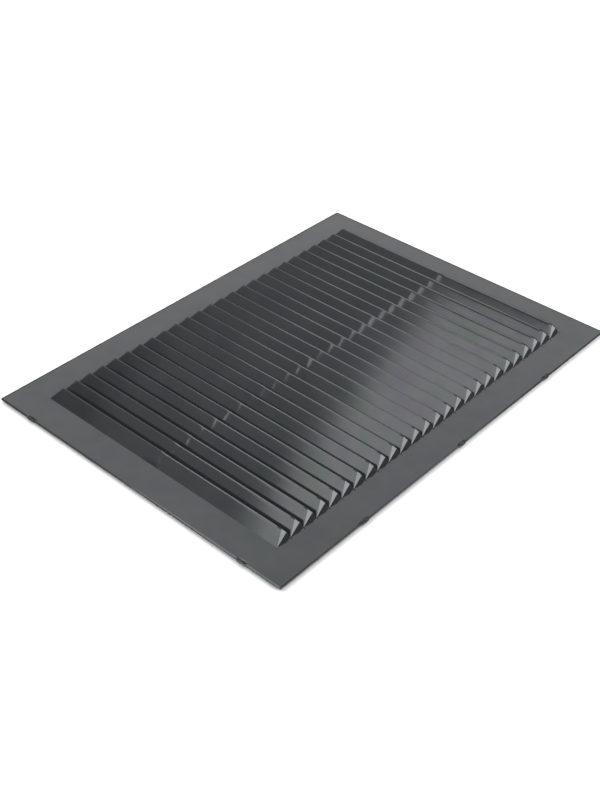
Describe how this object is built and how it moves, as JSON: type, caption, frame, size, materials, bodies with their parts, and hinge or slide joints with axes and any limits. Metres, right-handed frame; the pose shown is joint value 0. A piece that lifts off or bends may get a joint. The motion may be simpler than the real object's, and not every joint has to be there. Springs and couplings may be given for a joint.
{
  "type": "louvred air grille",
  "caption": "Rectangular pressed louvre panel that lifts off a recessed wall frame with an insect screen; lets air through while shedding rain.",
  "frame": {"origin": "centre of the back plane that lies against the wall", "axes": "+X across the louvres from their feet to their lips, along the long side; +Y along the louvres; +Z out of the face, away from the wall"},
  "size_m": [0.4009, 0.3009, 0.0127],
  "materials": {
    "panel_coat": "semi-gloss anthracite",
    "frame_coat": "matt anthracite",
    "stay_metal": "mill",
    "plate_metal": "mill",
    "clamp_metal": "mill",
    "rivet_metal": "satin",
    "screen_mesh": "matt black"
  },
  "bodies": {
    "rear_frame": {"end_rail_left": "frame_coat", "end_rail_right": "frame_coat", "side_rail_front": "frame_coat", "side_rail_rear": "frame_coat", "corner_plate_front_left": "plate_metal", "corner_plate_front_right": "plate_metal", "corner_plate_rear_left": "plate_metal", "corner_plate_rear_right": "plate_metal", "corner_rivets": "rivet_metal", "insect_screen": "screen_mesh", "end_clamp_left": "clamp_metal", "end_clamp_right": "clamp_metal", "side_clamp_front": "clamp_metal", "side_clamp_rear": "clamp_metal", "clamp_rivets": "rivet_metal"},
    "panel": {"louvre_panel": "panel_coat", "centre_stay": "stay_metal"}
  },
  "joints": [
    {"name": "panel_lift", "type": "slide", "parent": "rear_frame", "child": "panel", "axis": [0, 0, 1], "range_m": [0, 0.025]}
  ]
}
